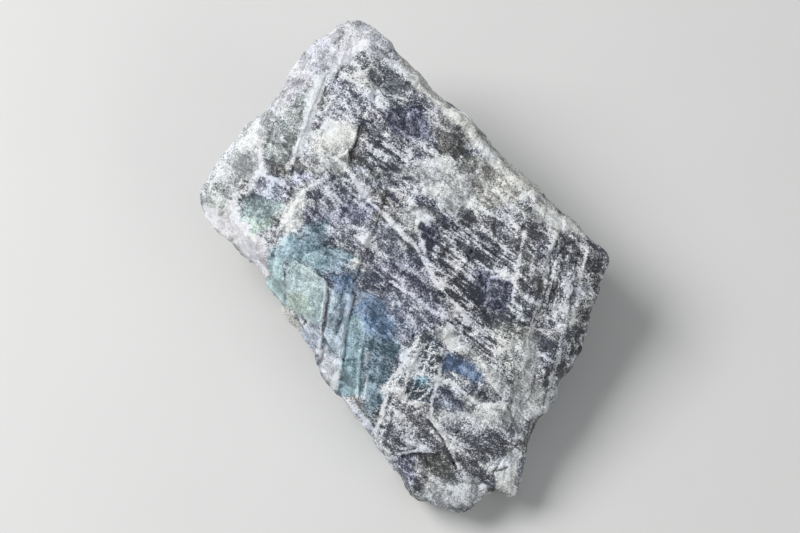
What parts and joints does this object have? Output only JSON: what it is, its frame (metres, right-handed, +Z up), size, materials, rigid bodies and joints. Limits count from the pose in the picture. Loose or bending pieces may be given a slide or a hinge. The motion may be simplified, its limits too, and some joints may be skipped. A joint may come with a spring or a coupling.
{
  "type": "raw larvikite block",
  "caption": "Rough wedge-shaped block of larvikite feldspar rock, split along its cleavage, with stepped ledges on its broad sloping face and a flat face to rest on.",
  "frame": {"origin": "on the flat base, under the centre of the block's box", "axes": "+X along the block's long side, from its thick end to its thin tip, +Y across it to the back, +Z up from the resting face"},
  "size_m": [0.0606, 0.0388, 0.0241],
  "materials": {
    "larvikite": "rough, frosty broken feldspar with glassy cleavage patches"
  },
  "bodies": {
    "root": {"larvikite_block": "larvikite"}
  },
  "joints": []
}
